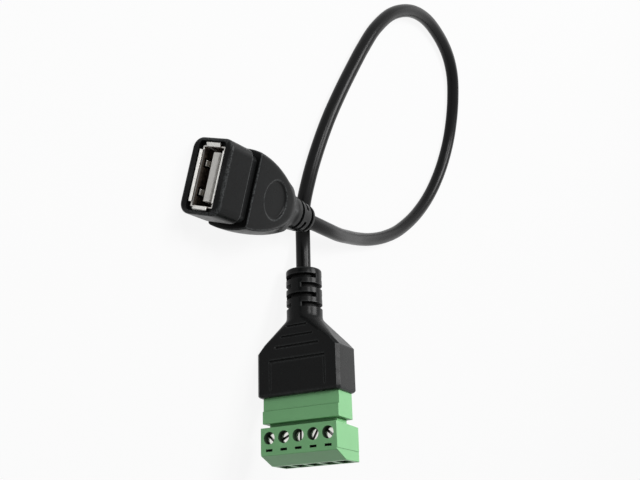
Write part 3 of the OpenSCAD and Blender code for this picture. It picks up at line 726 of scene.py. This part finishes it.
def grooved_front(x, y, depth):
    """Depth of the grooved lines on the hood's front: three lines across its taper, the top of the frame
    below them, and the frame's two sides, a third as deep."""
    half, wall = 0.16 * MM, 0.07 * MM

    def line(off, past):
        """1 on a line, by the distances off it and past its ends, with a soft step at its walls."""
        return smoothstep(half + wall - np.abs(off), 0, wall) * smoothstep(-past, -wall, wall)

    lines = np.zeros(np.broadcast_shapes(x.shape, y.shape))
    for place, length in [*HOOD_LINES, (FRAME_TOP, 2 * FRAME_HALF_W + 0.3 * MM)]:
        lines = np.maximum(lines, line(y - place, np.abs(x) - length / 2))
    middle, reach = (FRAME_TOP + FRAME_FOOT) / 2, (FRAME_TOP - FRAME_FOOT) / 2
    sides = line(np.abs(x) - FRAME_HALF_W, np.abs(y - middle) - reach)
    return depth * np.maximum(lines, sides / 3)


def hood_turns(edge):
    """Directions around the hood: those of its section, with close ones at the frame's sides and at both
    edges of the bevel on each corner."""
    section = section_turns(
        HOOD_HALF_W, HOOD_HALF_H, top_step=0.16 * MM, low_step=0.5 * MM, side_step=0.45 * MM)
    frame_sides = np.arctan2(HOOD_HALF_H, around([-FRAME_HALF_W, FRAME_HALF_W], LINE_SPREAD))
    bevel = around(
        [math.atan2(HOOD_HALF_H - edge, HOOD_HALF_W), math.atan2(HOOD_HALF_H, HOOD_HALF_W - edge)],
        [-0.003, 0, 0.003])
    bevel = np.mod(np.concatenate([bevel, math.pi - bevel, -bevel, bevel - math.pi]), FULL_TURN)
    return np.unique(np.round(np.concatenate([section, frame_sides, bevel]), 4))[None, :]


def hood_stations(edge, slot_rows):
    """Places along the hood and its strain relief, close together at each rim, bend, line and slot."""
    line_places = [FRAME_TOP, *(place for place, _ in HOOD_LINES)]
    return stations(
        HOOD_MOUTH + round_steps(edge, 6), np.linspace(HOOD_MOUTH + 1.4 * edge, TAPER_START, 14),
        around([FRAME_FOOT], np.array([-0.1, 0, 0.1]) * MM), around(line_places, LINE_SPREAD),
        np.linspace(TAPER_START - 0.3 * MM, TAPER_START + 0.3 * MM, 5),
        np.linspace(TAPER_START, NECK_FULL, 30), np.linspace(NECK_FULL, TERMINAL_END - NECK_RIM, 14),
        slot_stations(slot_rows), TERMINAL_END - round_steps(NECK_RIM, 7))


def terminal_moulding_points(sizes):
    """Rings of the terminal's moulding along its outside from the header to the cord, and back along its
    inside: rounded rectangles cut by a bevel at their corners, which open into the round strain relief,
    with slots and grooved lines."""
    edge = sizes.hood_edge
    slot_rows = NECK_START + np.array([3.2, 5.6, 8, 10.4]) * MM
    turns = hood_turns(edge)
    y = hood_stations(edge, slot_rows)
    inset = quarter_round(y - HOOD_MOUTH, edge) + quarter_round(TERMINAL_END - y, NECK_RIM)
    opening = np.clip((y - TAPER_START) / (NECK_START - TAPER_START), 0, 1)
    half_w = hood_half_width(y)
    half_h = HOOD_HALF_H + (NECK_RADIUS - HOOD_HALF_H) * opening
    corner = np.minimum(HOOD_CORNER + (NECK_RADIUS - HOOD_CORNER) * opening, half_w)
    reach = round_rect_reach(turns, half_w - inset, half_h - inset, np.minimum(corner, half_h - inset))
    bevel = (half_w + half_h - 2 * inset - edge) / (np.abs(np.cos(turns)) + np.abs(np.sin(turns)))
    reach = np.minimum(reach, bevel)
    reach = reach - flexing_slots(y, turns, reach, slot_rows, sizes.slot_depth, first_web_up=True)
    x, z = reach * np.cos(turns), reach * np.sin(turns)
    z = z - np.where(z > 0.8 * half_h, grooved_front(x, y, sizes.line_depth), 0)
    inner_y, inner_w, inner_h, inner_corner, inner_middle = columns(TERMINAL_INSIDE)
    inner = round_rect_reach(turns, inner_w, inner_h, inner_corner)
    x = np.concatenate([x, inner * np.cos(turns)])
    y = np.concatenate([y, inner_y]) + 0 * turns
    z = np.concatenate([z + HOOD_MIDDLE, inner * np.sin(turns) + inner_middle])
    origin, axes = terminal_axes()
    return origin + np.stack([x, y, z], axis=-1) @ axes


# Cord: steps in each span of its route, the route's point where it leaves the terminal, and its closed ends

CORD_STEPS = 8
CLOSED_RADIUS = 0.01 * MM


def cord_line():
    """The cord's middle line: a Catmull-Rom curve through its route points, with its ends carried on
    straight, taken at even steps within each span."""
    route = np.array(CORD_ROUTE) * MM
    ends = np.concatenate([[2 * route[0] - route[1]], route, [2 * route[-1] - route[-2]]])
    t = (np.arange(CORD_STEPS) / CORD_STEPS)[None, :, None]
    a, b, c, d = (ends[k:len(ends) - 3 + k, None, :] for k in range(4))
    squared, cubed = 2 * a - 5 * b + 4 * c - d, 3 * b - a - 3 * c + d
    spans = 0.5 * (2 * b + (c - a) * t + squared * t ** 2 + cubed * t ** 3)
    return np.concatenate([spans.reshape(-1, 3), route[-1:]])


def cord_tube(line, width, sides):
    """Rings of a round tube along a line that never stands upright: each ring lies across the line's
    heading, spanned by the level direction beside it and the one above; its ends close in a small ring
    each."""
    heading = np.gradient(line, axis=0)
    heading = heading / np.linalg.norm(heading, axis=1, keepdims=True)
    aside = np.cross([0, 0, 1], heading)
    aside = aside / np.linalg.norm(aside, axis=1, keepdims=True)
    above = np.cross(heading, aside)
    line, aside, above = (np.concatenate([v[:1], v, v[-1:]]) for v in (line, aside, above))
    radius = np.full(len(line), width / 2)
    radius[[0, -1]] = CLOSED_RADIUS
    turn = np.arange(sides) * FULL_TURN / sides
    ring = np.cos(turn)[None, :, None] * aside[:, None] + np.sin(turn)[None, :, None] * above[:, None]
    return line[:, None] + radius[:, None, None] * ring


# Operators

# Shares of white: of the floor as it is seen, and of the surround as it lights the object
FLOOR_WHITE = 0.9
SURROUND_LIGHT = 0.18

# Colours of the cores, in their order at both ends
CORE_COLOURS = {
    "red": (0.42, 0.02, 0.014), "white": (0.78, 0.77, 0.72), "green": (0.028, 0.2, 0.042),
    "black": (0.012, 0.012, 0.012),
}


def add_moulding(name, node, points, material):
    """A black moulding from closed rings of points, in place of a solid of the lead."""
    rings, sides = points.shape[:2]
    # Outward edges take rubbing and a painted highlight in the material
    piece = mesh_piece(
        name, points.reshape(-1, 3), ring_quads(rings, sides, True), math.radians(38), material,
        worn=outward_bends(points))
    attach(piece, "lead")
    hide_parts(node)


def mark_rounded_edges(joined, width, shortest):
    """Give weight 1 to the outward edges that are sharper than 35 degrees and not too short, apart from
    those of a narrow face: one with sharp edges all round and less than two roundings across, as twice its
    area over its perimeter."""
    weight = joined.edges.layers.float.new("bevel_weight_edge")
    sharp = {edge for edge in joined.edges if edge.calc_face_angle(0) > math.radians(35)}
    for edge in sharp:
        edge[weight] = float(edge.is_convex and edge.calc_length() > shortest)
    for face in joined.faces:
        if sharp.issuperset(face.edges) and face.calc_area() < width * face.calc_perimeter():
            for edge in face.edges:
                edge[weight] = 0.0


def bevelled_copy(name, width, material, shortest=0.0):
    """A copy of a solid's mesh in its place, with its loose triangles joined, its flat faces merged and its
    outward edges rounded."""
    solid = frame["nodes"][name]
    joined = bmesh.new()
    joined.from_mesh(solid.data)
    bmesh.ops.remove_doubles(joined, verts=joined.verts, dist=1e-6)
    bmesh.ops.dissolve_limit(joined, angle_limit=0.01, verts=joined.verts, edges=joined.edges)
    mark_rounded_edges(joined, width, shortest)
    mesh = bpy.data.meshes.new(name + "_edged")
    joined.to_mesh(mesh)
    joined.free()
    mesh.polygons.foreach_set("use_smooth", np.ones(len(mesh.polygons), bool))
    mesh.set_sharp_from_angle(angle=math.radians(30))
    obj = bpy.data.objects.new(name + "_edged", mesh)
    bpy.context.scene.collection.objects.link(obj)
    edge = obj.modifiers.new("edges", "BEVEL")
    edge.width = width
    edge.segments = 2
    edge.limit_method = "WEIGHT"
    edge.use_clamp_overlap = False
    flat = obj.modifiers.new("flat_faces", "WEIGHTED_NORMAL")
    flat.keep_sharp = True
    flat.weight = 100
    dress(obj, material)
    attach(obj, solid["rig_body"])
    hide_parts(name)


class LEAD_OT_stage(bpy.types.Operator):
    """Camera at the photograph's angle, pale floor, white surround and soft light from above"""

    bl_idname = "lead.stage"
    bl_label = "Stage"

    def execute(self, context):
        scene = context.scene
        scene.view_settings.view_transform = "Standard"
        self.add_camera(scene)
        self.add_floor(scene)
        self.add_light(scene)
        return {"FINISHED"}

    def add_camera(self, scene):
        """A camera whose picture is 640 by 480, placed by its right, up and back directions."""
        data = bpy.data.cameras.new("photo_camera")
        data.sensor_fit = "HORIZONTAL"
        data.sensor_width = 36
        data.lens = 52.894
        data.clip_start, data.clip_end = 0.005, 20
        right = (-0.20285, 0.49204, 0.84661)
        up = (-0.97223, -0.20426, -0.11424)
        back = (0.11672, -0.84627, 0.51981)
        place = (0.030493, -0.152481, 0.126401)
        camera = bpy.data.objects.new("photo_camera", data)
        camera.matrix_world = Matrix([*zip(right, up, back, place), (0, 0, 0, 1)])
        scene.collection.objects.link(camera)
        scene.camera = camera

    def add_floor(self, scene):
        """A wide floor at the table's height that keeps a faint shadow and reads as white."""
        material = bpy.data.materials.new("pale_floor")
        material.use_nodes = True
        tree = material.node_tree
        tree.nodes.clear()
        matte = add_node(tree, "ShaderNodeBsdfDiffuse", {"Color": rgba(scene.lead_colours.floor)})
        white = add_node(tree, "ShaderNodeEmission", {"Strength": 1.0})
        share = math_of(tree, "MULTIPLY", self.seen_ray(tree), FLOOR_WHITE)
        mix = add_node(tree, "ShaderNodeMixShader", {
            "Fac": share, 1: matte.outputs["BSDF"], 2: white.outputs["Emission"]})
        add_node(tree, "ShaderNodeOutputMaterial", {"Surface": mix.outputs["Shader"]})
        half_width, below, cells = 3.0, 0.01 * MM, 6
        side = np.linspace(-half_width, half_width, cells + 1)
        x, y = np.meshgrid(side, side)
        points = np.stack([x, y, np.full_like(x, -below)], axis=-1).reshape(-1, 3)
        i, j = np.meshgrid(np.arange(cells), np.arange(cells))
        low = (j * (cells + 1) + i).ravel()
        high = low + cells + 1
        faces = np.stack([low, low + 1, high + 1, high], axis=1)
        mesh_piece("floor", points, faces, math.radians(30), material)

    def seen_ray(self, tree):
        """1 for rays from the camera, a mirror or a clear piece, and 0 for rays that carry light."""
        path = tree.nodes.new("ShaderNodeLightPath")
        seen = path.outputs["Is Camera Ray"]
        for name in ("Is Glossy Ray", "Is Transmission Ray"):
            seen = math_of(tree, "MAXIMUM", seen, path.outputs[name])
        return seen

    def add_light(self, scene):
        """An even surround, a wide soft lamp low behind the object and two smaller ones above it."""
        world = bpy.data.worlds.new("surround")
        world.use_nodes = True
        tree = world.node_tree
        sky = next(node for node in tree.nodes if node.type == "BACKGROUND")
        sky.inputs["Color"].default_value = (1, 1, 1, 1)
        level = range_of(tree, self.seen_ray(tree), 0.0, 1.0, SURROUND_LIGHT, 1.0)
        tree.links.new(level, sky.inputs["Strength"])
        scene.world = world
        self.add_lamp(scene, "back_softbox", place=(-0.16, 0.62, 0.2), size=(0.8, 0.26), power=0.38)
        self.add_lamp(scene, "overhead_key", place=(-0.36, 0.13, 0.6), size=(0.3, 0.3), power=4.6)
        self.add_lamp(scene, "front_key", place=(-0.31, -0.245, 0.5), size=(0.14, 0.14), power=1.5)

    def add_lamp(self, scene, name, place, size, power):
        """A rectangular lamp that faces the middle of the object."""
        data = bpy.data.lights.new(name, "AREA")
        data.shape = "RECTANGLE"
        data.size, data.size_y = size
        data.energy = power
        lamp = bpy.data.objects.new(name, data)
        middle = Vector((0.0, 0.045, 0.01))
        lamp.location = place
        lamp.rotation_euler = (middle - Vector(place)).to_track_quat("-Z", "Y").to_euler()
        scene.collection.objects.link(lamp)


class LEAD_OT_cord(bpy.types.Operator):
    """Round jacket of the cord, swept along its route"""

    bl_idname = "lead.cord"
    bl_label = "Cord"

    def execute(self, context):
        sizes = context.scene.lead_sizes
        if sizes.cord_sides % 2:
            raise ValueError("the cord needs an even number of sides")
        line = cord_line()
        line[:, 2] = np.maximum(line[:, 2], sizes.cord_width / 2)
        rings = cord_tube(line, sizes.cord_width, sizes.cord_sides)
        count, sides = rings.shape[:2]
        ends = end_quads(sides)
        faces = np.concatenate([
            ring_quads(count, sides, False)[:, ::-1], ends[:, ::-1], ends + (count - 1) * sides])
        along = np.concatenate([[0, 0], np.cumsum(np.linalg.norm(np.diff(line, axis=0), axis=1))])
        along = np.append(along, along[-1])
        ring, side = np.divmod(np.arange(count * sides), sides)
        uv = np.stack([along[ring], side / sides], axis=1)[faces]
        # The strip that closes the round runs on to 1 in place of back to 0
        uv[..., 1] += (uv[..., 1] < 0.25) & (uv[..., 1].max(axis=1, keepdims=True) > 0.75)
        material = finish_of("cord_jacket", extruded_jacket, colour=context.scene.lead_colours.cord)
        cord = mesh_piece("cord_jacket", rings.reshape(-1, 3), faces, math.radians(40), material, uv)
        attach(cord, "lead")
        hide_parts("cord")
        return {"FINISHED"}


class LEAD_OT_socket_moulding(bpy.types.Operator):
    """Black moulding around the socket: block, groove, shield and slotted strain relief"""

    bl_idname = "lead.socket_moulding"
    bl_label = "Socket moulding"

    def execute(self, context):
        material = finish_of(
            "socket_black", moulded_plastic, colour=context.scene.lead_colours.moulding, rough=0.3,
            grain=2800.0, worn=9.0, edge=None, specular=0.08, grain_depth=0.00003)
        points = socket_moulding_points(context.scene.lead_sizes)
        add_moulding("socket_moulding", "socket_overmould", points, material)
        return {"FINISHED"}


class LEAD_OT_terminal_moulding(bpy.types.Operator):
    """Black hood of the terminal: straight part, taper, grooved lines and slotted strain relief"""

    bl_idname = "lead.terminal_moulding"
    bl_label = "Terminal moulding"

    def execute(self, context):
        material = finish_of(
            "terminal_black", moulded_plastic, colour=context.scene.lead_colours.moulding, rough=0.27,
            grain=5200.0, worn=6.0, edge=None, specular=0.1)
        points = terminal_moulding_points(context.scene.lead_sizes)
        add_moulding("terminal_moulding", "terminal_overmould", points, material)
        return {"FINISHED"}


class LEAD_OT_green_housings(bpy.types.Operator):
    """Green plug and header, with lightly rounded edges"""

    bl_idname = "lead.green_housings"
    bl_label = "Green housings"

    def execute(self, context):
        material = finish_of(
            "green_polyamide", moulded_plastic, colour=context.scene.lead_colours.green, rough=0.36,
            grain=3600.0, worn=1.25, spread=0.03, specular=0.4, crevice=(0.005, 0.05, 0.42, 0.82))
        for name in ("plug_housing", "header_housing"):
            bevelled_copy(
                name, context.scene.lead_sizes.green_edge, material, shortest=5 * MM)
        return {"FINISHED"}


class LEAD_OT_clamps(bpy.types.Operator):
    """Slotted screws and the cages that they draw up"""

    bl_idname = "lead.clamps"
    bl_label = "Clamps"

    def execute(self, context):
        colours = context.scene.lead_colours
        bright = finish_of(
            "screw_nickel", plated_metal, colour=colours.nickel, rough=0.15,
            crevice=(0.0008, 0.05, 0.35, 0.85))
        plain = finish_of("cage_brass", plated_metal, colour=colours.brass, rough=0.34)
        for pole in POLES:
            bevelled_copy(f"clamp_screw_{pole}", context.scene.lead_sizes.metal_edge, bright)
            dress(frame["nodes"][f"clamp_cage_{pole}"], plain)
        return {"FINISHED"}


class LEAD_OT_socket_metal(bpy.types.Operator):
    """The socket's shell with its flared lips, its tongue and its contact strips"""

    bl_idname = "lead.socket_metal"
    bl_label = "Socket metal and tongue"

    def execute(self, context):
        colours = context.scene.lead_colours
        edge = context.scene.lead_sizes.metal_edge
        mouth_y = float(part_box("socket_shell")[0].y)
        # The shell darkens behind its mouth as painted shade
        bright = finish_of(
            "shell_nickel", drawn_shell, colour=colours.nickel, rough=0.28, mouth_y=mouth_y,
            low_wall=SOCKET_PLACE[2] - OPENING_HEIGHT / 2)
        bevelled_copy("socket_shell", edge, bright)
        # The tongue darkens with depth as painted shade
        grey = finish_of(
            "tongue_plastic", depth_shaded_tongue, colour=colours.tongue, rough=0.42, bright_y=mouth_y + 2 * MM,
            dull_y=mouth_y + 11 * MM, dull=0.25)
        bevelled_copy("socket_insulator", edge, grey)
        strip = finish_of("strip_brass", plated_metal, colour=colours.brass, rough=0.3)
        for index in range(1, 5):
            dress(frame["nodes"][f"socket_contact_{index}"], strip)
        return {"FINISHED"}


class LEAD_OT_wires(bpy.types.Operator):
    """Cores and drain wires inside both mouldings, header pins and plug contacts"""

    bl_idname = "lead.wires"
    bl_label = "Wires, pins and contacts"

    def execute(self, context):
        tin = finish_of("dull_tin", plated_metal, colour=context.scene.lead_colours.tin, rough=0.36)
        tinned = ["socket_drain", "terminal_drain"]
        tinned += [f"{kind}_{pole}" for kind in ("header_pin", "plug_contact") for pole in POLES]
        for name in tinned:
            dress(frame["nodes"][name], tin)
        for index, (name, colour) in enumerate(CORE_COLOURS.items(), 1):
            jacket = finish_of(
                f"jacket_{name}", moulded_plastic, colour=colour, rough=0.45, grain=3000.0, worn=1.2)
            for end in ("socket", "terminal"):
                dress(frame["nodes"][f"{end}_core_{index}"], jacket)
        return {"FINISHED"}


OPERATORS = (
    LEAD_OT_stage, LEAD_OT_cord, LEAD_OT_socket_moulding, LEAD_OT_terminal_moulding, LEAD_OT_green_housings,
    LEAD_OT_clamps, LEAD_OT_socket_metal, LEAD_OT_wires,
)


class LEAD_PT_panel(bpy.types.Panel):
    """Lists the lead's sizes, colours and pieces"""

    bl_idname = "LEAD_PT_panel"
    bl_label = "Socket lead"
    bl_space_type = "VIEW_3D"
    bl_region_type = "UI"
    bl_category = "Lead"

    def draw(self, context):
        layout = self.layout
        for group in (context.scene.lead_sizes, context.scene.lead_colours):
            box = layout.box()
            for name in group.__annotations__:
                box.prop(group, name)
        for operator in OPERATORS:
            layout.operator(operator.bl_idname)


CLASSES = (LeadSizes, LeadColours, *OPERATORS, LEAD_PT_panel)


def register():
    for cls in CLASSES:
        bpy.utils.register_class(cls)
    bpy.types.Scene.lead_sizes = PointerProperty(type=LeadSizes)
    bpy.types.Scene.lead_colours = PointerProperty(type=LeadColours)


def unregister():
    del bpy.types.Scene.lead_colours
    del bpy.types.Scene.lead_sizes
    for cls in reversed(CLASSES):
        bpy.utils.unregister_class(cls)


def main():
    """Make the stage and every piece."""
    register()
    bpy.ops.lead.stage()
    bpy.ops.lead.cord()
    bpy.ops.lead.socket_moulding()
    bpy.ops.lead.terminal_moulding()
    bpy.ops.lead.green_housings()
    bpy.ops.lead.clamps()
    bpy.ops.lead.socket_metal()
    bpy.ops.lead.wires()


if __name__ == "__main__":
    main()
